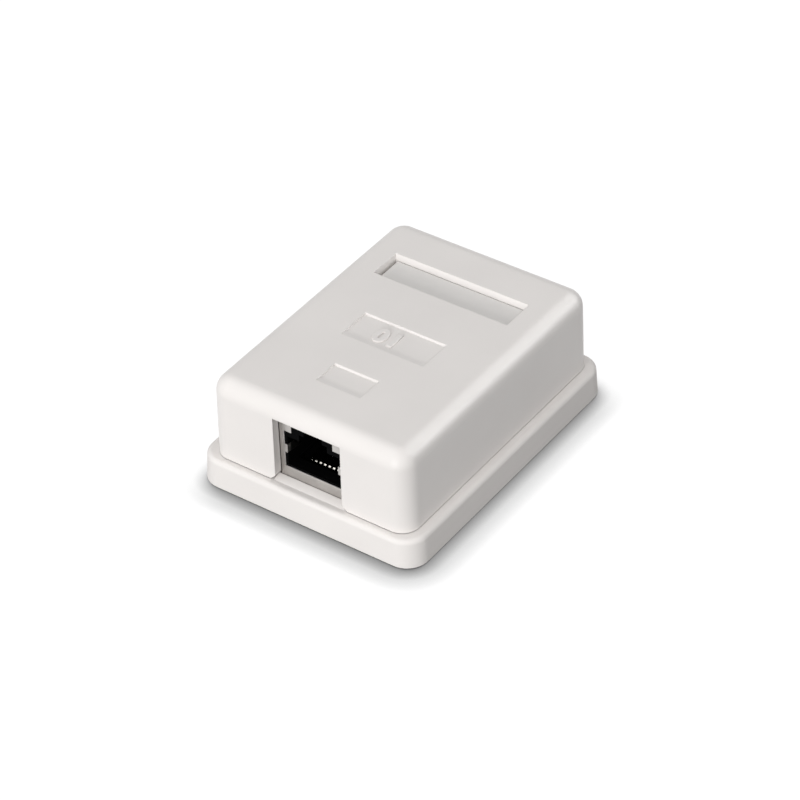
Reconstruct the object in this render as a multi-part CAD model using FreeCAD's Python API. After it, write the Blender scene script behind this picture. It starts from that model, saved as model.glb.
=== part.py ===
"""Single-port surface mount box with a shielded modular socket, in millimetres.

The box lies on its mounting face. +Z points away from the wall, the socket looks along -Y,
+X is to the right when facing the socket, and the origin is the middle of the mounting face.
Each separate piece is one solid in one STEP file.
"""
import math
import os

import FreeCAD
import Part

V = FreeCAD.Vector

# Base tray
BASE_WIDTH = 50.0
BASE_LENGTH = 66.0
BASE_DRAFT = 2.54
BASE_CORNER = 4.65
LEDGE_HEIGHT = 6.1
LEDGE_ROUND = 1.0
LEDGE_THICK = 2.0
SKIRT_WALL = 2.0
FLOOR = 2.0
RIM_HEIGHT = 2.2
RIM_WALL = 1.3
RIM_GAP = 0.2
WEB = 1.2
WEBS_PER_SIDE = 3

# Cover
SIDE_LEDGE = 2.45
END_LEDGE = 1.875
COVER_HEIGHT = 17.8
COVER_DRAFT = 0.85
COVER_CORNER = 3.8
TOP_ROUND = 3.5
WALL = 1.9
TOP_WALL = 2.0
CEILING_ROUND = 0.8
SEAM = 0.15
SILL_RISE = 0.55
SILL_CROWN = 0.1
NOTCH_WIDTH = 15.25
NOTCH_OFFSET = 0.13
NOTCH_FLARE = 1.1
NOTCH_DROP = 3.22
KNOCKOUT_WIDTH = 8.0
KNOCKOUT_HEIGHT = 7.0
KNOCKOUT_GROOVE = 0.8
KNOCKOUT_SKIN = 0.5
HOLD_RIB = 1.2
HOLD_RIB_SPACING = 9.0
HOLD_RIB_BACK = 5.0
HOLD_GAP = 0.3

# Recesses in the top of the cover: width, length, middle along Y
LABEL_WIDTH = 30.8
LABEL_LENGTH = 7.44
LABEL_Y = 16.25
MARK_WIDTH = 18.6
MARK_LENGTH = 7.83
MARK_Y = -2.6
ICON_WIDTH = 10.0
ICON_LENGTH = 6.04
ICON_Y = -17.44
RECESS_DEPTH = 0.42
RECESS_END_RUN = 0.05
RECESS_FRONT_RUN = 1.6
RECESS_SWEEP = 4.0
RECESS_REAR_RUN = 0.25
LABEL_REAR_RUN = 0.6
LABEL_END_RUN = 0.35
WINDOW_DEPTH = 1.1
WINDOW_THICK = 1.2
WINDOW_GAP = 0.12
PRY_GAP = 0.62
CARD_THICK = 0.25
CARD_GAP = 0.3
POCKET_FLOOR = 1.5
POCKET_WALL = 1.6

# Cover screw and its two bosses
BOSS_RADIUS = 3.2
BOSS_HEIGHT = 9.7
SCREW_RADIUS = 1.3
SCREW_CORE = 1.0
SCREW_PLAY = 0.05
SCREW_CLEARANCE = 0.3
SCREW_BITE = 5.5
SCREW_HEAD_RADIUS = 2.5
SCREW_HEAD_THICK = 1.5
HEAD_CLEARANCE = 0.3
GUSSET = 1.0
GUSSET_REACH = 3.3

# Fixings and cable entry in the floor
FIX_SPACING_X = 28.0
FIX_SPACING_Y = 43.0
FIX_Y = 0.5
FIX_RADIUS = 2.1
FIX_RING = 1.4
FIX_RING_RISE = 0.8
CABLE_HOLE_RADIUS = 3.5
CABLE_HOLE_GAP = 1.0
PAD_WIDTH = 32.0
PAD_LENGTH = 26.0
PAD_THICK = 1.0
PAD_PROUD = 0.3
PAD_GAP = 0.2

# Circuit board and its supports
POST_HEIGHT = 2.4
BOARD_THICK = 1.6
BOARD_SIDE_GAP = 1.65
NECK_WIDTH = 20.4
NECK_LENGTH = 13.9
BOARD_REAR_GAP = 0.3
BOARD_SCREW_INSET = 4.0
BOARD_SCREW_BACK = 2.7
BOARD_SCREW_RADIUS = 0.9
BOARD_SCREW_CORE = 0.68
BOARD_SCREW_HEAD = 2.3
BOARD_SCREW_HEAD_THICK = 1.2
BOARD_POST_RADIUS = 2.4
PEG_RADIUS = 0.7
PEG_RISE = 0.4
PEG_EDGE = 1.1
PEG_BACK = 1.7
REST_RADIUS = 1.6
HOLE_PLAY = 0.12

# Socket: shield, housing, carrier and contacts
JACK_GAP = 0.12
JACK_WIDTH = 15.5
JACK_DEPTH = 16.2
JACK_HEIGHT = 13.6
JACK_OVERHANG = 1.6
SHEET = 0.25
SHEET_FOLD = 0.4
SHEET_PLAY = 0.05
WINDOW_WIDTH = 12.72
WINDOW_SILL = 3.04
WINDOW_HEIGHT = 8.35
WINDOW_NECK = 9.38
WINDOW_NECK_HEIGHT = 1.65
LEAF_HEIGHT = 1.9
LEAF_RISE = 7.25
LEAF_LENGTH = 5.6
LEAF_REACH = 1.15
LEAF_SLOT = 0.9
LEG_WIDTH = 1.5
LEG_BACK = 9.0
LEG_BELOW = 0.9
CAVITY_WIDTH = 11.8
CAVITY_FLOOR = 3.3
CAVITY_HEIGHT = 6.7
CAVITY_DEPTH = 13.6
LATCH_WIDTH = 6.4
LATCH_HEIGHT = 1.45
KEY_WIDTH = 4.1
KEY_HEIGHT = 1.3
HOUSING_FLOOR = 0.8
HOUSING_LIP = 2.6
HOUSING_FLOOR_LENGTH = 8.6
HOUSING_PEG_RADIUS = 1.55
HOUSING_PEG_SPACING = 11.43
HOUSING_PEG_BACK = 6.4
HOUSING_PEG_LENGTH = 2.4
CONTACT_COUNT = 8
CONTACT_PITCH = 1.016
CONTACT_WIDTH = 0.46
CONTACT_THICK = 0.4
CONTACT_PLAY = 0.06
CONTACT_BEND = 0.6
CONTACT_SLOPE = 18.0
CONTACT_NOSE_BACK = 4.2
CONTACT_TIP_BACK = 11.4
CONTACT_ROW_BACK = 10.1
CONTACT_ROW_SPACING = 2.54
CONTACT_TAIL = 0.9
SHELF_THICK = 1.05
SHELF_RISE = 1.55
CARRIER_WIDTH = 11.2
COMB_THICK = 1.4
COMB_HEIGHT = 6.9
COMB_SLOT = 0.62

# Connecting blocks, their forked contacts and the cable clip
IDC_WAYS = 4
IDC_PITCH = 3.9
IDC_END = 0.45
IDC_WIDTH = 7.6
IDC_EDGE = 1.5
IDC_HEIGHT = 11.8
IDC_BODY = 5.2
IDC_SLOT = 1.0
IDC_PEAK = 1.2
IDC_POCKET = 0.6
FORK_THICK = 0.4
FORK_WIDTH = 2.4
FORK_SLIT = 0.34
FORK_SLIT_DEPTH = 4.0
FORK_DROP = 1.4
FORK_FLARE = 0.5
FORK_PIN = 0.6
FORK_PIN_BELOW = 0.9
CLIP_RADIUS = 3.1
CLIP_SHEET = 0.3
CLIP_LENGTH = 5.0
CLIP_FOOT = 2.2
CLIP_MOUTH = 70.0
CLIP_BACK = 6.0

CUT = 1.0  # how far a cutting tool runs past the face that it opens

# Heights, from the mounting face up
floor_z = PAD_PROUD + FLOOR
ledge_z = PAD_PROUD + LEDGE_HEIGHT
cover_z = ledge_z + SEAM
top_z = cover_z + COVER_HEIGHT
ceiling_z = top_z - TOP_WALL
rim_z = ledge_z + RIM_HEIGHT
board_z = floor_z + POST_HEIGHT
board_top = board_z + BOARD_THICK
window_top = top_z - WINDOW_DEPTH
window_base = window_top - WINDOW_THICK
pocket_z = window_base - CARD_THICK
pocket_under = pocket_z - POCKET_FLOOR
boss_top = floor_z + BOSS_HEIGHT
head_z = pocket_z - SCREW_HEAD_THICK - CUT / 10

# Half sizes of the case
base_x = BASE_WIDTH / 2
base_y = BASE_LENGTH / 2
cover_x = base_x - SIDE_LEDGE
cover_y = base_y - END_LEDGE
room_x = cover_x - WALL
room_y = cover_y - WALL
room_corner = COVER_CORNER - WALL
rim_x = room_x - RIM_GAP
rim_y = room_y - RIM_GAP
rim_corner = room_corner - RIM_GAP
board_x = rim_x - RIM_WALL - BOARD_SIDE_GAP

# Socket and board, from the front wall back
jack_front = -room_y + JACK_GAP
jack_rear = jack_front + JACK_DEPTH
jack_x = JACK_WIDTH / 2
jack_top = board_top + JACK_HEIGHT
housing_x = jack_x - SHEET - SHEET_PLAY
housing_front = jack_front + SHEET + SHEET_PLAY
housing_rear = jack_rear - SHEET - SHEET_PLAY
housing_top = jack_top - SHEET - SHEET_PLAY
board_front = jack_front + JACK_OVERHANG
shoulder_y = board_front + NECK_LENGTH
board_rear = LABEL_Y - BOSS_RADIUS - BOARD_REAR_GAP
board_screw_x = board_x - BOARD_SCREW_INSET
board_screw_y = board_rear - BOARD_SCREW_BACK
peg_x = NECK_WIDTH / 2 - PEG_EDGE
peg_y = board_front + PEG_BACK
idc_length = IDC_WAYS * IDC_PITCH + 2 * IDC_END
idc_x = board_x - IDC_EDGE - IDC_WIDTH / 2
idc_y = (jack_rear + board_screw_y - BOARD_SCREW_HEAD) / 2
clip_y = board_rear - CLIP_BACK
cable_hole_y = LABEL_Y + BOSS_RADIUS + CABLE_HOLE_GAP + CABLE_HOLE_RADIUS
leg_y = jack_front + LEG_BACK


def box(x_low, x_high, y_low, y_high, z_low, z_high):
    """Upright block between six planes."""
    size = (x_high - x_low, y_high - y_low, z_high - z_low)
    return Part.makeBox(*size, V(x_low, y_low, z_low))


def rod(x, y, z_low, z_high, radius):
    """Upright cylinder."""
    return Part.makeCylinder(radius, z_high - z_low, V(x, y, z_low))


def joined(shapes):
    """One solid from shapes that meet or overlap."""
    first, rest = shapes[0], shapes[1:]
    return first.fuse(rest).removeSplitter() if rest else first


def rectangle(half_x, half_y, z, y_mid=0.0):
    """Corner points of a level rectangle about (0, y_mid)."""
    return [V(sx * half_x, y_mid + sy * half_y, z) for sx, sy in ((-1, -1), (1, -1), (1, 1), (-1, 1))]


def frustum(low, high):
    """Solid between two level four-cornered outlines, with every face turned outward."""
    faces = [Part.Face(Part.makePolygon((low + low[:1])[::-1])), Part.Face(Part.makePolygon(high + high[:1]))]
    for i in range(4):
        j = (i + 1) % 4
        faces.append(Part.Face(Part.makePolygon([low[i], low[j], high[j], high[i], low[i]])))
    return Part.makeSolid(Part.makeShell(faces))


def level_edges(shape, z):
    """Edges of the shape that lie at height z all along."""
    return [e for e in shape.Edges if abs(e.BoundBox.ZMin - z) < 1e-4 and abs(e.BoundBox.ZMax - z) < 1e-4]


def upright_edges(shape):
    """Straight edges that run from the bottom of the shape to its top."""
    height = shape.BoundBox.ZLength
    return [e for e in shape.Edges if e.BoundBox.ZLength > 0.99 * height]


def drafted_block(half_x, half_y, z_low, z_high, draft, corner, top_round):
    """Block with leaning walls, rounded corners and a rounded top edge."""
    lean = math.tan(math.radians(draft)) * (z_high - z_low)
    block = frustum(rectangle(half_x, half_y, z_low), rectangle(half_x - lean, half_y - lean, z_high))
    block = block.makeFillet(corner, upright_edges(block))
    return block.makeFillet(top_round, level_edges(block, z_high))


def rounded_block(half_x, half_y, z_low, z_high, corner):
    """Upright block with rounded corners."""
    block = box(-half_x, half_x, -half_y, half_y, z_low, z_high)
    return block.makeFillet(corner, upright_edges(block))


def prism(points, direction):
    """Solid swept from a closed flat outline along a vector."""
    return Part.Face(Part.makePolygon(points + points[:1])).extrude(direction)


def mirrored(shape):
    """Copy on the other side of the middle plane."""
    return shape.mirror(V(0, 0, 0), V(1, 0, 0))


def screw(x, y, tip_z, seat_z, radius, head_radius, head_thick):
    """Pan-head screw on the core of its thread, with a pointed tip, a bevelled head and a cross recess."""
    shank = rod(x, y, tip_z + radius, seat_z, radius)
    tip = Part.makeCone(radius / 4, radius, radius, V(x, y, tip_z))
    head = rod(x, y, seat_z, seat_z + head_thick, head_radius)
    head = head.makeChamfer(head_thick / 2, level_edges(head, seat_z + head_thick))
    arm, half_slot = head_radius * 0.55, head_radius * 0.12
    depth_z = seat_z + head_thick * 0.45
    over_z = seat_z + head_thick + CUT
    cross = joined([box(x - arm, x + arm, y - half_slot, y + half_slot, depth_z, over_z),
                    box(x - half_slot, x + half_slot, y - arm, y + arm, depth_z, over_z)])
    return joined([shank, tip, head]).cut(cross)


# ---------------------------------------------------------------- case

def socket_sill():
    """Crowned ramp on the ledge that closes the foot of the socket notch."""
    reach = NOTCH_WIDTH / 2 + NOTCH_FLARE - SILL_RISE - SEAM / 2
    left = NOTCH_OFFSET - reach
    front, rear = -cover_y + SEAM, jack_front - JACK_GAP / 2
    low, back, foot = ledge_z, ledge_z + SILL_RISE, ledge_z - LEDGE_THICK / 2
    crown = V(left, (front + rear) / 2, (low + back) / 2 + SILL_CROWN)
    curve = Part.Arc(V(left, front, low), crown, V(left, rear, back)).toShape()
    corners = [V(left, rear, back), V(left, rear, foot), V(left, front, foot), V(left, front, low)]
    sides = [Part.LineSegment(a, b).toShape() for a, b in zip(corners, corners[1:])]
    return Part.Face(Part.Wire([curve] + sides)).extrude(V(2 * reach, 0, 0))


def channel_webs():
    """Short webs that tie the skirt to the rim wall across the channel under the ledge."""
    webs = []
    low, high = PAD_PROUD, ledge_z - LEDGE_THICK / 2
    reach_x, reach_y = base_x - SKIRT_WALL / 2, base_y - SKIRT_WALL / 2
    for i in range(WEBS_PER_SIDE):
        share = (i + 1) / (WEBS_PER_SIDE + 1) * 2 - 1
        along_y, along_x = share * rim_y, share * rim_x
        webs.append(box(-reach_x, -rim_x + RIM_WALL / 2, along_y - WEB / 2, along_y + WEB / 2, low, high))
        webs.append(box(rim_x - RIM_WALL / 2, reach_x, along_y - WEB / 2, along_y + WEB / 2, low, high))
        webs.append(box(along_x - WEB / 2, along_x + WEB / 2, -reach_y, -rim_y + RIM_WALL / 2, low, high))
        webs.append(box(along_x - WEB / 2, along_x + WEB / 2, rim_y - RIM_WALL / 2, reach_y, low, high))
    return webs


def cover_boss():
    """Boss in the tray that takes the cover screw, with a gusset on each side."""
    solids = [rod(0, LABEL_Y, floor_z - FLOOR / 2, boss_top, BOSS_RADIUS)]
    foot = floor_z - FLOOR / 2
    for side in (-1, 1):
        start, end = side * BOSS_RADIUS / 2, side * (BOSS_RADIUS + GUSSET_REACH)
        y_low = LABEL_Y - GUSSET / 2
        outline = [V(start, y_low, foot), V(end, y_low, foot), V(end, y_low, floor_z + GUSSET),
                   V(side * BOSS_RADIUS, y_low, boss_top - GUSSET), V(start, y_low, boss_top - GUSSET)]
        solids.append(prism(outline, V(0, GUSSET, 0)))
    return solids


def board_posts():
    """Screw posts, pegged posts and plain rests that carry the circuit board."""
    foot = floor_z - FLOOR / 2
    solids = []
    for side in (-1, 1):
        solids.append(rod(side * board_screw_x, board_screw_y, foot, board_z, BOARD_POST_RADIUS))
        solids.append(rod(side * peg_x, peg_y, foot, board_z, REST_RADIUS))
        solids.append(rod(side * peg_x, peg_y, foot, board_top + PEG_RISE, PEG_RADIUS))
        solids.append(rod(side * idc_x, shoulder_y + REST_RADIUS, foot, board_z, REST_RADIUS))
    return solids


def fixing_points():
    """Middles of the four wall-screw holes."""
    return [(sx * FIX_SPACING_X / 2, FIX_Y + sy * FIX_SPACING_Y / 2) for sx in (-1, 1) for sy in (-1, 1)]


def base():
    """Tray with ledge, locating rim, sill, bosses, posts, fixing holes and cable hole."""
    tray = drafted_block(base_x, base_y, PAD_PROUD, ledge_z, BASE_DRAFT, BASE_CORNER, LEDGE_ROUND)
    rim = rounded_block(rim_x, rim_y, ledge_z - LEDGE_THICK, rim_z, rim_corner)
    tray = joined([tray, rim])
    inner_x, inner_y = rim_x - RIM_WALL, rim_y - RIM_WALL
    tray = tray.cut(rounded_block(inner_x, inner_y, floor_z, rim_z + CUT, rim_corner / 2))
    skirt = rounded_block(base_x - SKIRT_WALL, base_y - SKIRT_WALL, PAD_PROUD - CUT,
                          ledge_z - LEDGE_THICK, BASE_CORNER - SKIRT_WALL)
    core = rounded_block(rim_x, rim_y, PAD_PROUD - 2 * CUT, ledge_z, rim_corner)
    tray = tray.cut(skirt.cut(core))
    gate = jack_x + RIM_GAP
    tray = tray.cut(box(-gate, gate, -rim_y - CUT, -rim_y + RIM_WALL + CUT, board_top - SEAM, rim_z + CUT))
    exit_x = KNOCKOUT_WIDTH / 2 + RIM_GAP
    tray = tray.cut(box(-exit_x, exit_x, rim_y - RIM_WALL - CUT, rim_y + CUT, ledge_z, rim_z + CUT))
    rings = [rod(x, y, floor_z - FLOOR / 2, floor_z + FIX_RING_RISE, FIX_RADIUS + FIX_RING)
             for x, y in fixing_points()]
    tray = joined([tray, socket_sill()] + channel_webs() + cover_boss() + board_posts() + rings)
    low = PAD_PROUD - CUT
    holes = [rod(x, y, low, floor_z + FIX_RING_RISE + CUT, FIX_RADIUS) for x, y in fixing_points()]
    holes.append(rod(0, cable_hole_y, low, floor_z + CUT, CABLE_HOLE_RADIUS))
    holes.append(rod(0, LABEL_Y, boss_top - SCREW_BITE - CUT, boss_top + CUT, SCREW_RADIUS + SCREW_PLAY))
    for side in (-1, 1):
        holes.append(rod(side * board_screw_x, board_screw_y, floor_z, board_z + CUT,
                         BOARD_SCREW_RADIUS + SCREW_PLAY))
    holes.append(rounded_block(PAD_WIDTH / 2 + PAD_GAP, PAD_LENGTH / 2 + PAD_GAP, low, PAD_THICK,
                               PAD_THICK + PAD_GAP))
    for hole in holes:
        tray = tray.cut(hole)
    return tray


def recess(width, length, y_mid, depth, end_run, front_run, rear_run, sweep=0):
    """Tool for a recess in the top with leaning walls; sweep rounds the foot of its front slope."""
    outlines = []
    for step in (-1, 1):
        x = width / 2 + step * end_run
        front = y_mid - length / 2 - step * front_run
        rear = y_mid + length / 2 + step * rear_run
        z = top_z + step * depth
        outlines.append([V(-x, front, z), V(x, front, z), V(x, rear, z), V(-x, rear, z)])
    tool = frustum(*outlines)
    if not sweep:
        return tool
    floor = [e for e in level_edges(tool, top_z - depth) if e.BoundBox.XLength > length]
    return tool.makeFillet(sweep, [min(floor, key=lambda e: e.CenterOfMass.y)])


def window_extent():
    """Half width, front and rear of the label pocket below its leaning walls."""
    half = LABEL_WIDTH / 2 - LABEL_END_RUN
    return half, LABEL_Y - LABEL_LENGTH / 2, LABEL_Y + LABEL_LENGTH / 2 - LABEL_REAR_RUN


def cover():
    """Shell with socket notch, three recesses, label pocket, screw boss, ribs and knock-out."""
    shell = drafted_block(cover_x, cover_y, cover_z, top_z, COVER_DRAFT, COVER_CORNER, TOP_ROUND)
    room = rounded_block(room_x, room_y, cover_z - CUT, ceiling_z, room_corner)
    room = room.makeFillet(CEILING_ROUND, level_edges(room, ceiling_z))
    shell = shell.cut(room)
    half, front, rear = window_extent()
    bed = box(-half - POCKET_WALL, half + POCKET_WALL, front - POCKET_WALL, rear + POCKET_WALL,
              pocket_under, ceiling_z + TOP_WALL / 4)
    boss = rod(0, LABEL_Y, boss_top, pocket_z, BOSS_RADIUS)
    collar_radius = SCREW_HEAD_RADIUS + HEAD_CLEARANCE + POCKET_WALL
    collar = rod(0, LABEL_Y, head_z - POCKET_FLOOR, pocket_z, collar_radius)
    ribs = []
    for side in (-1, 1):
        x = side * HOLD_RIB_SPACING / 2
        ribs.append(box(x - HOLD_RIB / 2, x + HOLD_RIB / 2, jack_front + HOLD_RIB_BACK, jack_rear,
                        jack_top + HOLD_GAP, ceiling_z + TOP_WALL / 4))
    shell = joined([shell, bed, boss, collar] + ribs)
    shell = shell.cut(socket_notch())
    shell = shell.cut(recess(LABEL_WIDTH, LABEL_LENGTH, LABEL_Y, WINDOW_DEPTH,
                             LABEL_END_RUN, 0, LABEL_REAR_RUN))
    shell = shell.cut(box(-half, half, front, rear, pocket_z, top_z - WINDOW_DEPTH / 2))
    for width, length, y_mid in ((MARK_WIDTH, MARK_LENGTH, MARK_Y), (ICON_WIDTH, ICON_LENGTH, ICON_Y)):
        shell = shell.cut(recess(width, length, y_mid, RECESS_DEPTH, RECESS_END_RUN,
                                 RECESS_FRONT_RUN, RECESS_REAR_RUN, RECESS_SWEEP))
    shell = shell.cut(rod(0, LABEL_Y, head_z, pocket_z + CUT / 4, SCREW_HEAD_RADIUS + HEAD_CLEARANCE))
    shell = shell.cut(rod(0, LABEL_Y, boss_top - CUT, head_z + CUT, SCREW_RADIUS + SCREW_CLEARANCE))
    return shell.cut(knockout_groove())


def socket_notch():
    """Tool for the notch in the front wall, flared at its foot."""
    left, right = NOTCH_OFFSET - NOTCH_WIDTH / 2, NOTCH_OFFSET + NOTCH_WIDTH / 2
    high, waist, low = top_z - NOTCH_DROP, cover_z + NOTCH_FLARE, cover_z - CUT
    flare = NOTCH_FLARE + CUT
    outline = [(left, high), (left, waist), (left - flare, low), (right + flare, low), (right, waist),
               (right, high)]
    return prism([V(x, -cover_y - CUT, z) for x, z in outline], V(0, cover_y + CUT - room_y, 0))


def knockout_groove():
    """Tool for the groove, cut from inside the rear wall, round the cable knock-out."""
    def arch(half, height):
        shoulder = cover_z + height - half
        flank = box(-half, half, room_y - CUT, cover_y - KNOCKOUT_SKIN, cover_z - CUT, shoulder)
        crown = Part.makeCylinder(half, cover_y - KNOCKOUT_SKIN - room_y + CUT,
                                  V(0, room_y - CUT, shoulder), V(0, 1, 0))
        return joined([flank, crown])
    half = KNOCKOUT_WIDTH / 2
    return arch(half, KNOCKOUT_HEIGHT).cut(arch(half - KNOCKOUT_GROOVE, KNOCKOUT_HEIGHT - KNOCKOUT_GROOVE))


def label_window():
    """Clear insert that closes the label pocket, with a gap at its left end to pry it out."""
    half, front, rear = window_extent()
    plate = box(-half + PRY_GAP, half - WINDOW_GAP, front + WINDOW_GAP, rear - WINDOW_GAP,
                window_base, window_top)
    return plate.makeFillet(WINDOW_GAP, level_edges(plate, window_top))


def label_card():
    """Paper card under the clear insert."""
    half, front, rear = window_extent()
    return box(-half + CARD_GAP, half - CARD_GAP, front + CARD_GAP, rear - CARD_GAP,
               pocket_z, window_base)


def cover_screw():
    """Screw that draws the cover's boss down on the tray's boss."""
    return screw(0, LABEL_Y, boss_top - SCREW_BITE, head_z, SCREW_CORE, SCREW_HEAD_RADIUS,
                 SCREW_HEAD_THICK)


def mounting_pad():
    """Foam pad in the underside, standing a little proud of the tray."""
    return rounded_block(PAD_WIDTH / 2, PAD_LENGTH / 2, 0, PAD_THICK, PAD_THICK)


# ---------------------------------------------------------------- board

def circuit_board():
    """Board with a narrow neck under the socket and drilled for everything that it carries."""
    neck, half = NECK_WIDTH / 2, board_x
    outline = [(-neck, board_front), (neck, board_front), (neck, shoulder_y), (half, shoulder_y),
               (half, board_rear), (-half, board_rear), (-half, shoulder_y), (-neck, shoulder_y)]
    board = prism([V(x, y, board_z) for x, y in outline], V(0, 0, BOARD_THICK))
    low, high = board_z - CUT, board_top + CUT
    holes = []
    for side in (-1, 1):
        holes.append(rod(side * board_screw_x, board_screw_y, low, high, BOARD_SCREW_RADIUS + HOLE_PLAY))
        holes.append(rod(side * peg_x, peg_y, low, high, PEG_RADIUS + HOLE_PLAY))
        holes.append(rod(side * HOUSING_PEG_SPACING / 2, jack_front + HOUSING_PEG_BACK, low, high,
                         HOUSING_PEG_RADIUS + HOLE_PLAY))
        leg_x = side * (jack_x - SHEET / 2)
        reach, half_leg = SHEET / 2 + HOLE_PLAY, LEG_WIDTH / 2 + HOLE_PLAY
        holes.append(box(leg_x - reach, leg_x + reach, leg_y - half_leg, leg_y + half_leg, low, high))
    for i in range(CONTACT_COUNT):
        holes.append(rod(contact_x(i), contact_row(i), low, high, CONTACT_WIDTH / 2 + 2 * HOLE_PLAY))
    for x, y in fork_points():
        holes.append(rod(x, y, low, high, FORK_PIN / 2 + 2 * HOLE_PLAY))
    for hole in holes:
        board = board.cut(hole)
    return board


def board_screw(side):
    """Screw through the board into a post of the tray; side is -1 or 1."""
    return screw(side * board_screw_x, board_screw_y, floor_z + SCREW_PLAY, board_top,
                 BOARD_SCREW_CORE, BOARD_SCREW_HEAD, BOARD_SCREW_HEAD_THICK)


# ---------------------------------------------------------------- socket

def jack_shield():
    """Folded sheet round the socket: window with corner tabs, side leaves and board legs."""
    outer = box(-jack_x, jack_x, jack_front, jack_rear, board_top, jack_top)
    folds = [e for e in outer.Edges
             if abs(e.CenterOfMass.y - jack_front) < 1e-4 and e.CenterOfMass.z > board_top + SHEET]
    folds += [e for e in level_edges(outer, jack_top) if e.CenterOfMass.y > jack_front + SHEET]
    folds += [e for e in upright_edges(outer) if e.CenterOfMass.y > jack_front + SHEET]
    outer = outer.makeFillet(SHEET_FOLD, folds)
    inner = box(-jack_x + SHEET, jack_x - SHEET, jack_front + SHEET, jack_rear - SHEET,
                board_top - CUT, jack_top - SHEET)
    inner = inner.makeFillet(SHEET_FOLD - SHEET, [e for e in inner.Edges if e.CenterOfMass.z > board_top])
    shield = outer.cut(inner)
    sill, shoulder = board_top + WINDOW_SILL, board_top + WINDOW_SILL + WINDOW_HEIGHT
    wide, neck = WINDOW_WIDTH / 2, WINDOW_NECK / 2
    front, back = jack_front - CUT, jack_front + SHEET + SHEET_PLAY
    shield = shield.cut(box(-wide, wide, front, back, sill, shoulder))
    shield = shield.cut(box(-neck, neck, front, back, shoulder - SHEET, shoulder + WINDOW_NECK_HEIGHT))
    legs = []
    for side in (-1, 1):
        low_x, high_x = sorted((side * jack_x, side * (jack_x - SHEET)))
        legs.append(box(low_x, high_x, leg_y - LEG_WIDTH / 2, leg_y + LEG_WIDTH / 2,
                        board_z - LEG_BELOW, board_top + SHEET))
    leaf = side_leaf()
    return joined([shield, leaf, mirrored(leaf)] + legs)


def side_leaf():
    """Spring leaf on the +X edge of the window, folded back into the socket."""
    edge = WINDOW_WIDTH / 2 + SHEET
    tip = WINDOW_WIDTH / 2 - LEAF_REACH
    bend = WINDOW_WIDTH / 2 - LEAF_REACH / 2
    front, back = jack_front, jack_front + LEAF_LENGTH
    crest = front + LEAF_LENGTH * 0.62
    path = [V(edge, front, 0), V(bend, front, 0), V(tip, crest, 0), V(bend + SHEET, back, 0)]
    inner = [V(bend + SHEET * 1.4, back, 0), V(tip + SHEET * 1.03, crest, 0),
             V(bend + SHEET, front + SHEET, 0), V(edge, front + SHEET, 0)]
    low = board_top + LEAF_RISE - LEAF_HEIGHT / 2
    outline = [V(p.x, p.y, low) for p in path + inner]
    return prism(outline, V(0, 0, LEAF_HEIGHT))


def jack_housing():
    """Moulded socket body with the keyed plug cavity, leaf slots and two board pegs."""
    body = box(-housing_x, housing_x, housing_front, housing_rear, board_top, housing_top)
    floor = board_top + CAVITY_FLOOR
    front, back = housing_front - CUT, housing_front + CAVITY_DEPTH
    half, latch, key = CAVITY_WIDTH / 2, LATCH_WIDTH / 2, KEY_WIDTH / 2
    roof = floor + CAVITY_HEIGHT
    tools = [box(-half, half, front, back, floor, roof),
             box(-latch, latch, front, back, roof - SHEET, roof + LATCH_HEIGHT),
             box(-key, key, front, back, roof, roof + LATCH_HEIGHT + KEY_HEIGHT)]
    well = CARRIER_WIDTH / 2 + SHEET_PLAY
    lip_back = housing_front + HOUSING_LIP
    tools.append(box(-well, well, lip_back, back, board_top + HOUSING_FLOOR, floor + SHEET))
    tools.append(box(-well, well, housing_front + HOUSING_FLOOR_LENGTH, housing_rear + CUT,
                     board_top - CUT, floor + SHEET))
    tools.append(box(-well, well, back - SHEET, housing_rear + CUT, board_top, board_top + COMB_HEIGHT))
    slot_low = board_top + LEAF_RISE - LEAF_HEIGHT / 2 - HOLE_PLAY
    slot_back = housing_front + LEAF_LENGTH
    slot = box(half - SHEET, half + LEAF_SLOT, front, slot_back, slot_low,
               slot_low + LEAF_HEIGHT + 2 * HOLE_PLAY)
    tools += [slot, mirrored(slot)]
    for tool in tools:
        body = body.cut(tool)
    pegs = [rod(side * HOUSING_PEG_SPACING / 2, jack_front + HOUSING_PEG_BACK,
                board_top - HOUSING_PEG_LENGTH, board_top + SHEET, HOUSING_PEG_RADIUS) for side in (-1, 1)]
    return joined([body] + pegs)


def contact_x(index):
    """Place of one contact across the socket."""
    return (index - (CONTACT_COUNT - 1) / 2) * CONTACT_PITCH


def contact_row(index):
    """Place along Y where a contact goes through the board, in two staggered rows."""
    return jack_front + CONTACT_ROW_BACK + (index % 2) * CONTACT_ROW_SPACING


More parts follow.
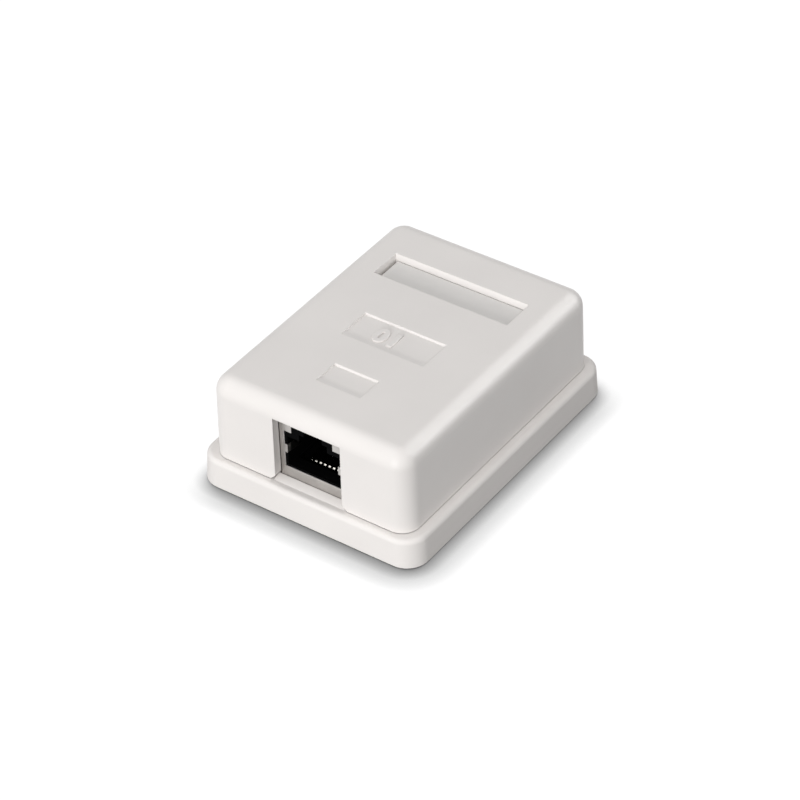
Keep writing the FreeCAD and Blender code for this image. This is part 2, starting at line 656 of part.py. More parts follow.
def contact(index):
    """One formed contact: up through the board, under the shelf, over its nose and back up."""
    x, tail_y, tail_z = contact_x(index), contact_row(index), board_z - CONTACT_TAIL
    half_width, half_thick = CONTACT_WIDTH / 2, CONTACT_THICK / 2
    shelf_mid = board_top + SHELF_RISE + SHELF_THICK / 2
    wrap = SHELF_THICK / 2 + CONTACT_PLAY + CONTACT_THICK / 2
    nose_y = jack_front + CONTACT_NOSE_BACK + wrap
    low_z = shelf_mid - wrap
    lean = math.radians(CONTACT_SLOPE)
    leave = math.pi / 2 + lean
    run = (CONTACT_TIP_BACK - CONTACT_NOSE_BACK - wrap) / math.cos(lean)

    def on_circle(y, z, radius, angle):
        return V(x - half_width, y + radius * math.cos(angle), z + radius * math.sin(angle))

    def side(offset):
        """Edges of one side of the strip from tail to tip, and its two end points."""
        bend, nose = CONTACT_BEND - offset, wrap + offset
        corner = (tail_y - CONTACT_BEND, low_z - CONTACT_BEND)
        tail = V(x - half_width, tail_y - offset, tail_z)
        bends = [on_circle(*corner, bend, angle) for angle in (0, math.pi / 4, math.pi / 2)]
        noses = [on_circle(nose_y, shelf_mid, nose, angle)
                 for angle in (1.5 * math.pi, (leave + 1.5 * math.pi) / 2, leave)]
        tip = noses[2] + V(0, math.cos(lean), math.sin(lean)) * run
        edges = [Part.LineSegment(tail, bends[0]), Part.Arc(*bends), Part.LineSegment(bends[2], noses[0]),
                 Part.Arc(*noses), Part.LineSegment(noses[2], tip)]
        return edges, tail, tip

    left, left_tail, left_tip = side(half_thick)
    right, right_tail, right_tip = side(-half_thick)
    loop = left + [Part.LineSegment(left_tip, right_tip)] + right[::-1]
    loop.append(Part.LineSegment(right_tail, left_tail))
    outline = Part.Wire([edge.toShape() for edge in loop])
    return Part.Face(outline).extrude(V(2 * half_width, 0, 0))


def contact_carrier():
    """Insulator with the rounded shelf that forms the wires, the block round their tails and a comb."""
    half = CARRIER_WIDTH / 2
    shelf_low = board_top + SHELF_RISE
    shelf_top = shelf_low + SHELF_THICK
    block_front = housing_front + HOUSING_FLOOR_LENGTH + SHEET_PLAY
    block_rear = housing_rear
    nose = jack_front + CONTACT_NOSE_BACK + CONTACT_PLAY + CONTACT_THICK / 2
    shelf = box(-half, half, nose, block_front + SHEET, shelf_low, shelf_top)
    lip = [e for e in shelf.Edges if abs(e.CenterOfMass.y - nose) < 1e-4 and e.BoundBox.XLength > half]
    shelf = shelf.makeFillet(SHELF_THICK / 2 * 0.98, lip)
    block = box(-half, half, block_front, block_rear, board_top, shelf_top)
    cavity_back = housing_front + CAVITY_DEPTH
    comb = box(-half, half, cavity_back - COMB_THICK, block_rear, board_top, board_top + COMB_HEIGHT)
    carrier = joined([shelf, block, comb])
    for i in range(CONTACT_COUNT):
        x, reach = contact_x(i), CONTACT_WIDTH / 2 + CONTACT_PLAY
        carrier = carrier.cut(box(x - reach, x + reach, block_front - CUT,
                                  contact_row(i) + CONTACT_THICK / 2 + CONTACT_PLAY,
                                  board_top - CUT, shelf_low))
        carrier = carrier.cut(box(x - COMB_SLOT / 2, x + COMB_SLOT / 2, cavity_back - COMB_THICK - CUT,
                                  cavity_back - COMB_THICK / 4, shelf_top, board_top + COMB_HEIGHT + CUT))
    return carrier


# ---------------------------------------------------------------- connecting blocks

def fork_points():
    """Middles of the forked contacts, left block first, front to rear."""
    ways = [idc_y + (i - (IDC_WAYS - 1) / 2) * IDC_PITCH for i in range(IDC_WAYS)]
    return [(side * idc_x, y) for side in (-1, 1) for y in ways]


def idc_block(side):
    """Connecting block with a wire slot and a contact pocket at each way; side is -1 or 1."""
    x, half, reach = side * idc_x, IDC_WIDTH / 2, idc_length / 2
    top, shoulder = board_top + IDC_HEIGHT, board_top + IDC_HEIGHT - IDC_PEAK
    flat = half - IDC_PEAK
    outline = [(-half, board_top), (half, board_top), (half, shoulder), (flat, top), (-flat, top),
               (-half, shoulder)]
    block = prism([V(x + dx, idc_y - reach, z) for dx, z in outline], V(0, 2 * reach, 0))
    slot_z = board_top + IDC_BODY
    fork_top = top - FORK_DROP
    for fork_x, y in fork_points():
        if fork_x * side < 0:
            continue
        block = block.cut(box(x - half - CUT, x + half + CUT, y - IDC_SLOT / 2, y + IDC_SLOT / 2,
                              slot_z, top + CUT))
        half_fork = FORK_WIDTH / 2 + HOLE_PLAY
        block = block.cut(box(x - IDC_POCKET / 2, x + IDC_POCKET / 2, y - half_fork, y + half_fork,
                              board_top - CUT, fork_top + HOLE_PLAY))
    return block


def idc_contact(index):
    """Forked contact: two tines with a flared mouth, a blade and a board pin."""
    x, y = fork_points()[index]
    top, half = board_top + IDC_HEIGHT - FORK_DROP, FORK_WIDTH / 2
    slit, flare = FORK_SLIT / 2, FORK_FLARE / 2 + FORK_SLIT / 2
    low, floor = board_top + SHEET_PLAY, top - FORK_SLIT_DEPTH
    pin, tail = FORK_PIN / 2, board_z - FORK_PIN_BELOW
    outline = [(-half, low), (-pin, low), (-pin, tail), (pin, tail), (pin, low), (half, low),
               (half, top), (flare, top), (slit, top - FORK_FLARE), (slit, floor), (-slit, floor),
               (-slit, top - FORK_FLARE), (-flare, top), (-half, top)]
    return prism([V(x - FORK_THICK / 2, y + dy, z) for dy, z in outline], V(FORK_THICK, 0, 0))


def cable_clip():
    """Sprung strip on the board that grips the cable and its screen."""
    mid_z = board_top + CLIP_SHEET + CLIP_RADIUS
    y_low = clip_y - CLIP_LENGTH / 2

    def tube(radius):
        return Part.makeCylinder(radius, CLIP_LENGTH, V(0, y_low, mid_z), V(0, 1, 0))

    band = tube(CLIP_RADIUS + CLIP_SHEET).cut(tube(CLIP_RADIUS))
    reach = (CLIP_RADIUS + CUT) * 2
    spread = reach * math.tan(math.radians(CLIP_MOUTH / 2))
    back, high = y_low - CUT, mid_z + reach
    mouth = [V(0, back, mid_z), V(spread, back, high), V(-spread, back, high)]
    band = band.cut(prism(mouth, V(0, CLIP_LENGTH + 2 * CUT, 0)))
    foot = box(-CLIP_FOOT, CLIP_FOOT, y_low, y_low + CLIP_LENGTH, board_top, board_top + CLIP_SHEET)
    return joined([band, foot.cut(tube(CLIP_RADIUS))])


def build_nodes():
    """Every piece by node name."""
    nodes = {
        "base": base(),
        "cover": cover(),
        "label_window": label_window(),
        "label_card": label_card(),
        "cover_screw": cover_screw(),
        "mounting_pad": mounting_pad(),
        "circuit_board": circuit_board(),
        "board_screw_left": board_screw(-1),
        "board_screw_right": board_screw(1),
        "jack_shield": jack_shield(),
        "jack_housing": jack_housing(),
        "contact_carrier": contact_carrier(),
        "idc_block_left": idc_block(-1),
        "idc_block_right": idc_block(1),
        "cable_clip": cable_clip(),
    }
    for i in range(CONTACT_COUNT):
        nodes[f"contact_{i + 1}"] = contact(i)
    for i in range(2 * IDC_WAYS):
        nodes[f"idc_contact_{i + 1}"] = idc_contact(i)
    return nodes


os.makedirs("parts", exist_ok=True)
for name, shape in build_nodes().items():
    solids = shape.Solids
    print(f"{name}: {len(solids)} solid, {shape.Volume:.1f} mm3, valid {shape.isValid()}")
    shape.exportStep(f"parts/{name}.step")
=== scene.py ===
"""Dressed model of a single-port surface mount box with a shielded modular socket.

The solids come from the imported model. This script gives every solid its finish and adds what the
solids leave out: the raised port number, screw threads, solder joints and the colour fields of the
connecting blocks. All lengths are in metres.
"""
from __future__ import annotations

import logging
import math
from dataclasses import dataclass
from enum import Enum

import bmesh
import bpy
from mathutils import Matrix, Vector

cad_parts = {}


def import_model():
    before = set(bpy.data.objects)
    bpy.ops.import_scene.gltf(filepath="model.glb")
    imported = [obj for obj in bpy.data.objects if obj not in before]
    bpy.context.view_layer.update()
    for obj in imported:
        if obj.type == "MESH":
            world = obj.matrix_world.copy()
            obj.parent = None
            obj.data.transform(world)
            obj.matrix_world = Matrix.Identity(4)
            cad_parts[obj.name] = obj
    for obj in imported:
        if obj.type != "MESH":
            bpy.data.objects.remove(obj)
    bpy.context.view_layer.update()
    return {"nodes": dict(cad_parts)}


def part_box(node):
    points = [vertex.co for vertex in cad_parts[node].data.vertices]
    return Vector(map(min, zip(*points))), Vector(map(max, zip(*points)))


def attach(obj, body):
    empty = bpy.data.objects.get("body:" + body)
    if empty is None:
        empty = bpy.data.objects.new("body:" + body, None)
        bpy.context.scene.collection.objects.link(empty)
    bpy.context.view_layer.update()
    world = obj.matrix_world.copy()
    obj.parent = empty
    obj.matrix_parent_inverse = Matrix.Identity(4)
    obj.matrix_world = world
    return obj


LOG = logging.getLogger("surface_mount_box")
MM = 0.001

Pair = tuple[float, float]
Triple = tuple[float, float, float]
Colour = Triple
Socket = bpy.types.NodeSocket

BLACK: Colour = (0.0, 0.0, 0.0)
WHITE: Colour = (1.0, 1.0, 1.0)
# Stretch of a noise's range in which most of its values lie.
BAND: Pair = (0.3, 0.7)
# Rough width of one band of a wave texture whose scale is 1.
WAVE_PERIOD = 0.32


def linear(value: int) -> float:
    """Return the linear share, 0 to 1, of a screen value, by the standard screen curve."""
    share = value / 255
    return share / 12.92 if share <= 0.04045 else ((share + 0.055) / 1.055) ** 2.4


def tone(red: int, green: int, blue: int) -> Colour:
    """Return the linear colour of a screen colour whose channels run from 0 to 255."""
    return linear(red), linear(green), linear(blue)


def shaded(colour: Colour, factor: float) -> Colour:
    """Return the colour made lighter or darker by a factor."""
    return tuple(min(1.0, channel * factor) for channel in colour)


# ------------------------------------------------------------------ finishes

class Graph:
    """One material with its shader, and short ways to add nodes to it."""

    shade_samples: int = 16
    edge_samples: int = 6

    def __init__(self, name: str) -> None:
        """Start a material with a Principled shader.

        Args:
            name: Name of the material.
        """
        self.material = bpy.data.materials.new(name)
        self.material.use_nodes = True
        self.tree = self.material.node_tree
        self.shader = next(n for n in self.tree.nodes if n.type == "BSDF_PRINCIPLED")

    def add(self, kind: str, values: dict[str, object] | None = None, **options: object) -> bpy.types.Node:
        """Add a node.

        Args:
            kind: The node's type without its "ShaderNode" prefix.
            values: Input values or sockets to link, by input name or number.
            options: Properties of the node.

        Returns:
            The new node.
        """
        node = self.tree.nodes.new("ShaderNode" + kind)
        for key, value in options.items():
            setattr(node, key, value)
        for key, value in (values or {}).items():
            self.feed(node.inputs[key], value)
        return node

    def feed(self, target: Socket, value: object) -> None:
        """Link a socket to the target, or set the target's own value.

        Args:
            target: Input to feed.
            value: Socket or plain value.
        """
        if isinstance(value, bpy.types.NodeSocket):
            self.tree.links.new(value, target)
        else:
            target.default_value = value

    def dress(self, **values: object) -> None:
        """Set the shader's inputs; an underscore in a key stands for a space."""
        for key, value in values.items():
            self.feed(self.shader.inputs[key.replace("_", " ")], value)

    def place(self, scale: Triple = (1, 1, 1), turn: float = 0.0) -> Socket:
        """Object coordinates through a Mapping node.

        Args:
            scale: Stretch along each axis.
            turn: Angle about Z, in degrees.

        Returns:
            The vector socket.
        """
        source = self.add("TexCoord").outputs["Object"]
        values = {"Vector": source, "Scale": scale, "Rotation": (0, 0, math.radians(turn))}
        return self.add("Mapping", values).outputs["Vector"]

    def vector(self, values: Vector) -> Socket:
        """Return a constant vector as a socket."""
        return self.add("CombineXYZ", dict(zip("XYZ", values))).outputs["Vector"]

    def noise(self, size: float, detail: float = 3.0, vector: Socket | None = None) -> Socket:
        """Noise with features of a given size.

        Args:
            size: Size of the largest features.
            detail: Number of finer layers.
            vector: Coordinates, or None for plain object coordinates.

        Returns:
            The factor socket.
        """
        values = {"Vector": vector or self.place(), "Scale": 1 / size, "Detail": detail}
        return self.add("TexNoise", values).outputs["Fac"]

    def ramp(self, factor: Socket, stops: dict[float, Colour]) -> Socket:
        """Colour ramp over a factor.

        Args:
            factor: Value that drives the ramp.
            stops: Colour by place, in rising order.

        Returns:
            The colour socket.
        """
        node = self.add("ValToRGB", {"Fac": factor})
        band = node.color_ramp.elements
        for index, (place, colour) in enumerate(stops.items()):
            stop = band[index] if index < 2 else band.new(place)
            stop.position = place
            stop.color = (*colour, 1)
        return node.outputs["Color"]

    def shades(self, factor: Socket, colour: Colour, ends: Pair, band: Pair = BAND) -> Socket:
        """Colour that runs from one shade to another over a factor.

        Args:
            factor: Value that drives the colour.
            colour: Plain colour.
            ends: Lightness at the start and end of the band.
            band: Stretch of the factor over which the shade changes.

        Returns:
            The colour socket.
        """
        return self.ramp(factor, {place: shaded(colour, end) for place, end in zip(band, ends)})

    def step(self, factor: Socket, band: Pair) -> Socket:
        """Return black below a band of the factor and white above it."""
        return self.ramp(factor, dict(zip(band, (BLACK, WHITE))))

    def spread(self, factor: Socket, low: float, high: float) -> Socket:
        """Map a noise's main band onto a range.

        Args:
            factor: Noise.
            low: Value at the start of the band.
            high: Value at its end.

        Returns:
            The value socket.
        """
        start, stop = BAND
        values = {"Value": factor, "From Min": start, "From Max": stop, "To Min": low, "To Max": high}
        return self.add("MapRange", values).outputs["Result"]

    def blend(self, factor: Socket, first: Socket | Colour, second: Socket | Colour) -> Socket:
        """Mix two colours by a factor.

        Args:
            factor: Share of the second colour.
            first: Colour at 0.
            second: Colour at 1.

        Returns:
            The colour socket.
        """
        values = {0: factor}
        for place, colour in ((6, first), (7, second)):
            values[place] = (*colour, 1) if isinstance(colour, tuple) else colour
        return self.add("Mix", values, data_type="RGBA").outputs[2]

    def relief(self, height: Socket, slope: float, depth: float, under: Socket | None = None) -> Socket:
        """Bump from a height.

        Args:
            height: Height, 0 to 1.
            slope: Share of the full slope.
            depth: Depth of the relief.
            under: Normal that the relief lies on.

        Returns:
            The normal socket.
        """
        values = {"Height": height, "Strength": slope, "Distance": depth}
        if under is not None:
            values["Normal"] = under
        return self.add("Bump", values).outputs["Normal"]

    def soft_edge(self, radius: float) -> Socket:
        """Return the normal that rounds sharp edges over a radius."""
        return self.add("Bevel", {"Radius": radius}, samples=self.edge_samples).outputs["Normal"]

    def openness(self, reach: float, power: float, facing: Socket | None = None) -> Socket:
        """Share of open space over a surface.

        Args:
            reach: How far off a neighbour still shades the surface.
            power: Contrast of the shade.
            facing: Direction that the shade is taken round, or None for the surface's own.

        Returns:
            The value socket, 0 shut in to 1 open.
        """
        values = {"Distance": reach} if facing is None else {"Distance": reach, "Normal": facing}
        share = self.add("AmbientOcclusion", values, samples=self.shade_samples).outputs["AO"]
        return self.add("Math", {0: share, 1: power}, operation="POWER").outputs["Value"]

    def product(self, *factors: Socket) -> Socket:
        """Multiply values.

        Args:
            factors: Value sockets, two or more.

        Returns:
            The value socket.
        """
        total = factors[0]
        for factor in factors[1:]:
            total = self.add("Math", {0: total, 1: factor}, operation="MULTIPLY").outputs["Value"]
        return total


@dataclass(frozen=True)
class GapShade:
    """Painted shade that darkens a finish down in narrow gaps, with a soft step between shut and clear."""

    width: float
    shut: float
    clear: float
    # Lightness of the painted shade deep in a gap, as a share of the colour.
    tone: float = 0.15

    def outside(self, graph: Graph) -> Socket:
        """Return the painted shade's mask: 0 deep in a gap and 1 out in the open."""
        values = {"Value": graph.openness(self.width, 1.0), "From Min": self.shut, "From Max": self.clear}
        return graph.add("MapRange", values, interpolation_type="SMOOTHSTEP").outputs["Result"]


@dataclass(frozen=True)
class MouldedPlastic:
    """Injection-moulded plastic with a fine spark-eroded grain, and painted shade in narrow gaps where it
    has one.
    """

    name: str
    colour: Colour
    roughness: float = 0.42
    drift: float = 0.02
    grain: float = 0.16 * MM
    depth: float = 0.004 * MM
    edge: float = 0.16 * MM
    gloss: float = 0.5
    # Painted shade in narrow gaps, or None for none.
    gap_shade: GapShade | None = None
    cloud: float = 18 * MM
    flow: float = 4 * MM
    flow_detail: float = 5.0
    flow_sheen: float = 0.05
    grain_detail: float = 2.0
    grain_slope: float = 0.35
    ior: float = 1.52

    def tint(self, graph: Graph) -> Socket:
        """Colour of the plastic, with painted shade that darkens it down in narrow gaps where the finish
        has it.

        Args:
            graph: Material to add to.

        Returns:
            The colour socket.
        """
        colour = graph.shades(graph.noise(self.cloud), self.colour, (1 - self.drift, 1 + self.drift))
        if self.gap_shade is None:
            return colour
        return graph.blend(self.gap_shade.outside(graph), shaded(self.colour, self.gap_shade.tone), colour)

    def build(self) -> bpy.types.Material:
        """Mix the plastic.

        Returns:
            The material.
        """
        graph = Graph(self.name)
        flow = graph.noise(self.flow, self.flow_detail)
        pits = graph.noise(self.grain, self.grain_detail)
        low, high = self.roughness - self.flow_sheen, self.roughness + self.flow_sheen
        graph.dress(
            Base_Color=self.tint(graph),
            Roughness=graph.spread(flow, low, high),
            IOR=self.ior,
            Specular_IOR_Level=self.gloss,
            Normal=graph.relief(pits, self.grain_slope, self.depth, graph.soft_edge(self.edge)))
        return graph.material


@dataclass(frozen=True)
class TinnedSheet:
    """Rolled sheet with a satin tin plating, faint rolling lines and handling haze."""

    name: str
    colour: Colour
    roughness: float = 0.34
    detail: float = 4.0
    haze: float = 3 * MM
    haze_tones: Pair = (0.9, 1.06)
    line: float = 0.2 * MM
    line_stretch: Triple = (0.04, 1, 1)
    line_sheen: Pair = (-0.06, 0.1)
    line_slope: float = 0.3
    line_depth: float = 0.003 * MM
    edge: float = 0.08 * MM

    def tint(self, graph: Graph) -> Socket:
        """Return the colour under the haze of handling."""
        return graph.shades(graph.noise(self.haze, self.detail), self.colour, self.haze_tones)

    def build(self) -> bpy.types.Material:
        """Plate the sheet.

        Returns:
            The material.
        """
        graph = Graph(self.name)
        lines = graph.noise(self.line, self.detail, graph.place(self.line_stretch))
        low, high = (self.roughness + change for change in self.line_sheen)
        graph.dress(
            Base_Color=self.tint(graph),
            Metallic=1.0,
            Roughness=graph.spread(lines, low, high),
            Normal=graph.relief(lines, self.line_slope, self.line_depth, graph.soft_edge(self.edge)))
        return graph.material


@dataclass(frozen=True)
class SocketSheet(TinnedSheet):
    """Tinned sheet of the shield, with painted shade that darkens it where its leaves are folded back into
    the dark cavity.
    """

    low: Triple = (0.0, 0.0, 0.0)
    high: Triple = (0.0, 0.0, 0.0)
    skin: float = 0.5 * MM
    # Lightness of the painted shade on the shield's inside, as a share of its colour.
    cavity_shade: float = 0.04

    def inside(self, graph: Graph) -> Socket:
        """Tell the shield's inside, where the shade is painted, from its outside.

        Args:
            graph: Material to add to.

        Returns:
            The value socket: 1 more than a skin behind the front, within the sides and under the top.
        """
        place = graph.add("SeparateXYZ", {"Vector": graph.place()}).outputs
        front, top = self.low[1] + self.skin, self.high[2] - self.skin
        centre, half = (self.low[0] + self.high[0]) / 2, (self.high[0] - self.low[0]) / 2
        values = {"Value": place["Y"], "From Min": front, "From Max": front + self.skin}
        depth = graph.add("MapRange", values)
        side = graph.add("Math", {0: place["X"], 1: centre, 2: half - self.skin}, operation="COMPARE")
        under = graph.add("Math", {0: place["Z"], 1: top}, operation="LESS_THAN")
        return graph.product(depth.outputs["Result"], side.outputs["Value"], under.outputs["Value"])

    def tint(self, graph: Graph) -> Socket:
        """Return the colour under the haze, darkened on the inside by painted shade."""
        return graph.blend(self.inside(graph), super().tint(graph), shaded(self.colour, self.cavity_shade))


@dataclass(frozen=True)
class PlatedContact:
    """Drawn and plated contact metal with fine drawing lines."""

    name: str
    colour: Colour
    roughness: float = 0.2
    line: float = 0.08 * MM
    line_detail: float = 2.0
    line_stretch: Triple = (1, 0.1, 0.1)
    line_sheen: Pair = (-0.04, 0.08)
    line_slope: float = 0.2
    line_depth: float = 0.002 * MM
    wear: float = 0.8 * MM
    wear_tones: Pair = (0.86, 1.05)
    wear_band: Pair = (0.35, 0.65)

    def build(self) -> bpy.types.Material:
        """Plate the contact.

        Returns:
            The material.
        """
        graph = Graph(self.name)
        lines = graph.noise(self.line, self.line_detail, graph.place(self.line_stretch))
        low, high = (self.roughness + change for change in self.line_sheen)
        graph.dress(
            Base_Color=graph.shades(graph.noise(self.wear), self.colour, self.wear_tones, self.wear_band),
            Metallic=1.0,
            Roughness=graph.spread(lines, low, high),
            Normal=graph.relief(lines, self.line_slope, self.line_depth))
        return graph.material


@dataclass(frozen=True)
class BoardLaminate:
    """Glass-epoxy board under solder mask, with buried tracks showing through."""

    name: str = "board_laminate"
    mask: Colour = tone(24, 92, 52)
    track: Colour = tone(40, 122, 66)
    track_pitch: float = 1.1 * MM
    track_band: Pair = (0.62, 0.7)
    track_slope: float = 0.5
    track_depth: float = 0.02 * MM
    area_scale: float = 180.0
    area_band: Pair = (0.49, 0.51)
    weave: float = 0.3 * MM
    weave_detail: float = 2.0
    sheen: Pair = (0.22, 0.34)

    def tracks(self, graph: Graph, turn: float) -> Socket:
        """Parallel tracks.

        Args:
            graph: Material to add to.
            turn: Angle about Z, in degrees.

        Returns:
            The colour socket, white on a track.
        """
        values = {"Vector": graph.place(turn=turn), "Scale": WAVE_PERIOD / self.track_pitch}
        wave = graph.add("TexWave", values, wave_type="BANDS", bands_direction="X")
        return graph.step(wave.outputs["Fac"], self.track_band)

    def build(self) -> bpy.types.Material:
        """Lay the board up.

        Returns:
            The material.
        """
        graph = Graph(self.name)
        along, across = (self.tracks(graph, turn) for turn in (0, 90))
        values = {"Vector": graph.place(), "Scale": self.area_scale}
        areas = graph.add("TexVoronoi", values, distance="CHEBYCHEV")
        tracks = graph.blend(graph.step(areas.outputs["Color"], self.area_band), along, across)
        weave = graph.noise(self.weave, self.weave_detail)
        graph.dress(
            Base_Color=graph.ramp(tracks, {0.0: self.mask, 1.0: self.track}),
            Roughness=graph.spread(weave, *self.sheen),
            Normal=graph.relief(tracks, self.track_slope, self.track_depth))
        return graph.material


@dataclass(frozen=True)
class ClearPlastic:
    """Thin polished clear moulding, frosted enough to hide most of the card under it."""

    name: str = "clear_insert"
    tint: Colour = tone(250, 247, 244)
    body: float = 0.8
    ripple: float = 6 * MM
    ripple_detail: float = 2.0
    ripple_slope: float = 0.1
    ripple_depth: float = 0.02 * MM
    haze: float = 1.2 * MM
    haze_detail: float = 4.0
    haze_tones: Pair = (0.985, 1.0)
    sheen: Pair = (0.08, 0.16)
    ior: float = 1.49

    def build(self) -> bpy.types.Material:
        """Mix the clear plastic.

        Returns:
            The material.
        """
        graph = Graph(self.name)
        ripple = graph.noise(self.ripple, self.ripple_detail)
        haze = graph.noise(self.haze, self.haze_detail)
        graph.dress(
            Base_Color=graph.shades(haze, self.tint, self.haze_tones),
            Roughness=graph.spread(haze, *self.sheen),
            IOR=self.ior,
            Alpha=self.body,
            Normal=graph.relief(ripple, self.ripple_slope, self.ripple_depth))
        return graph.material


@dataclass(frozen=True)
class PaperCard:
    """Uncoated card with fibres."""

    name: str = "label_paper"
    colour: Colour = tone(240, 237, 234)
    fibre: float = 0.4 * MM
    fibre_detail: float = 6.0
    fibre_stretch: Triple = (0.35, 1, 1)
    fibre_turn: float = 20.0
    fibre_tones: Pair = (0.94, 1.04)
    fibre_slope: float = 0.4
    fibre_depth: float = 0.01 * MM
    sheen: Pair = (0.8, 0.95)

    def build(self) -> bpy.types.Material:
        """Lay the card.

        Returns:
            The material.
        """
        graph = Graph(self.name)
        place = graph.place(self.fibre_stretch, self.fibre_turn)
        fibres = graph.noise(self.fibre, self.fibre_detail, place)
        graph.dress(
            Base_Color=graph.shades(fibres, self.colour, self.fibre_tones),
            Roughness=graph.spread(fibres, *self.sheen),
            Normal=graph.relief(fibres, self.fibre_slope, self.fibre_depth))
        return graph.material


@dataclass(frozen=True)
class FoamSheet:
    """Closed-cell foam with open cells at its cut edge."""

    name: str = "foam_pad"
    colour: Colour = tone(196, 195, 190)
    cell_scale: float = 3500.0
    cell_tones: Pair = (1.05, 0.7)
    cell_band: Pair = (0.0, 0.8)
    cell_slope: float = 0.7
    cell_depth: float = 0.06 * MM
    sheen: Pair = (0.85, 0.95)

    def build(self) -> bpy.types.Material:
        """Blow the foam.

        Returns:
            The material.
        """
        graph = Graph(self.name)
        values = {"Vector": graph.place(), "Scale": self.cell_scale}
        cells = graph.add("TexVoronoi", values).outputs["Distance"]
        graph.dress(
            Base_Color=graph.shades(cells, self.colour, self.cell_tones, self.cell_band),
            Roughness=graph.spread(cells, *self.sheen),
            Normal=graph.relief(cells, self.cell_slope, self.cell_depth))
        return graph.material


@dataclass(frozen=True)
class StripedInk:
    """Solid or white-striped colour of one conductor on its field."""

    name: str
    colour: Colour
    striped: bool
    paper: Colour = (0.78, 0.78, 0.76)
    stripe_scale: float = 300.0
    stripe_band: Pair = (0.49, 0.51)
    mottle: float = 0.6 * MM
    mottle_detail: float = 4.0
    mottle_tones: Pair = (0.92, 1.05)
    sheen: Pair = (0.4, 0.55)

    def stripes(self, graph: Graph, ink: Socket) -> Socket:
        """Lay white stripes over the ink.

        Args:
            graph: Material to add to.
            ink: Colour of the ink.

        Returns:
            The colour socket.
        """
        values = {"Vector": graph.place(turn=90), "Scale": self.stripe_scale}
        wave = graph.add("TexWave", values, wave_type="BANDS", bands_direction="DIAGONAL")
        return graph.blend(graph.step(wave.outputs["Fac"], self.stripe_band), ink, self.paper)

    def build(self) -> bpy.types.Material:
        """Print the field.

        Returns:
            The material.
        """
        graph = Graph(self.name)
        mottle = graph.noise(self.mottle, self.mottle_detail)
        ink = graph.shades(mottle, self.colour, self.mottle_tones)
        graph.dress(
            Base_Color=self.stripes(graph, ink) if self.striped else ink,
            Roughness=graph.spread(mottle, *self.sheen))
        return graph.material


class Finish(Enum):
    """The finishes of the box's own materials."""

    # The case and the tray both carry painted shade that darkens their colour in narrow gaps.
    CASE = MouldedPlastic("white_case", tone(233, 229, 226), 0.36, edge=0.22 * MM, gloss=0.45,
                          gap_shade=GapShade(0.9 * MM, 0.05, 0.36))
    # The tray's white is a few levels lighter than the case's: painted light that lifts its ledge, which
    # lies in the cover's shade.
    TRAY = MouldedPlastic("white_tray", tone(236, 232, 229), 0.62, gloss=0.12,
                          gap_shade=GapShade(0.8 * MM, 0.02, 0.24))
    HOUSING = MouldedPlastic("black_housing", (0.003, 0.003, 0.0033), 0.5, drift=0.25, grain=0.12 * MM,
                             depth=0.006 * MM, edge=0.1 * MM, gloss=0.01)
    BLOCK = MouldedPlastic("ivory_block", tone(214, 209, 196), 0.45, drift=0.03, grain=0.2 * MM,
                           depth=0.005 * MM, edge=0.12 * MM)
    SHEET = TinnedSheet("tinned_sheet", (0.55, 0.53, 0.51))
    ZINC = TinnedSheet("zinc_screw", (0.62, 0.63, 0.66), 0.28)
    GOLD = PlatedContact("gold_contact", (0.78, 0.75, 0.69), 0.07)
    TIN = PlatedContact("tinned_fork", (0.78, 0.77, 0.75), 0.28)
    SOLDER = PlatedContact("solder", (0.74, 0.74, 0.75), 0.32)
    BOARD = BoardLaminate()
    CLEAR = ClearPlastic()
    CARD = PaperCard()
    FOAM = FoamSheet()


class Paintbox:
    """Builds each finish once and gives it to objects."""

    def __init__(self) -> None:
        """Start with nothing built."""
        self.ready: dict[str, bpy.types.Material] = {}

    def get(self, finish: Finish | StripedInk | SocketSheet) -> bpy.types.Material:
        """Look up the material of a finish and build it on first use.

        Args:
            finish: Finish of the box, or one made for a single piece.

        Returns:
            The material.
        """
        recipe = finish.value if isinstance(finish, Finish) else finish
        if recipe.name not in self.ready:
            self.ready[recipe.name] = recipe.build()
        return self.ready[recipe.name]

    def coat(self, thing: bpy.types.Object, finish: Finish | StripedInk | SocketSheet) -> None:
        """Put one finish on the whole of an object."""
        thing.data.materials.clear()
        thing.data.materials.append(self.get(finish))


# ------------------------------------------------------------------ making pieces

def new_piece(name: str, mesh: bmesh.types.BMesh, body: str) -> bpy.types.Object:
    """Turn a bmesh into an object of the part.

    Args:
        name: Name of the piece.
        mesh: Finished mesh, which is freed.
        body: Body that the piece rides on.

    Returns:
        The new object.
    """
    bmesh.ops.recalc_face_normals(mesh, faces=mesh.faces)
    data = bpy.data.meshes.new(name)
    mesh.to_mesh(data)
    mesh.free()
    piece = bpy.data.objects.new(name, data)
    bpy.context.scene.collection.objects.link(piece)
    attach(piece, body)
    return piece


def middle(node: str) -> Vector:
    """Return the middle of a solid's box."""
    low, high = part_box(node)
    return (low + high) / 2


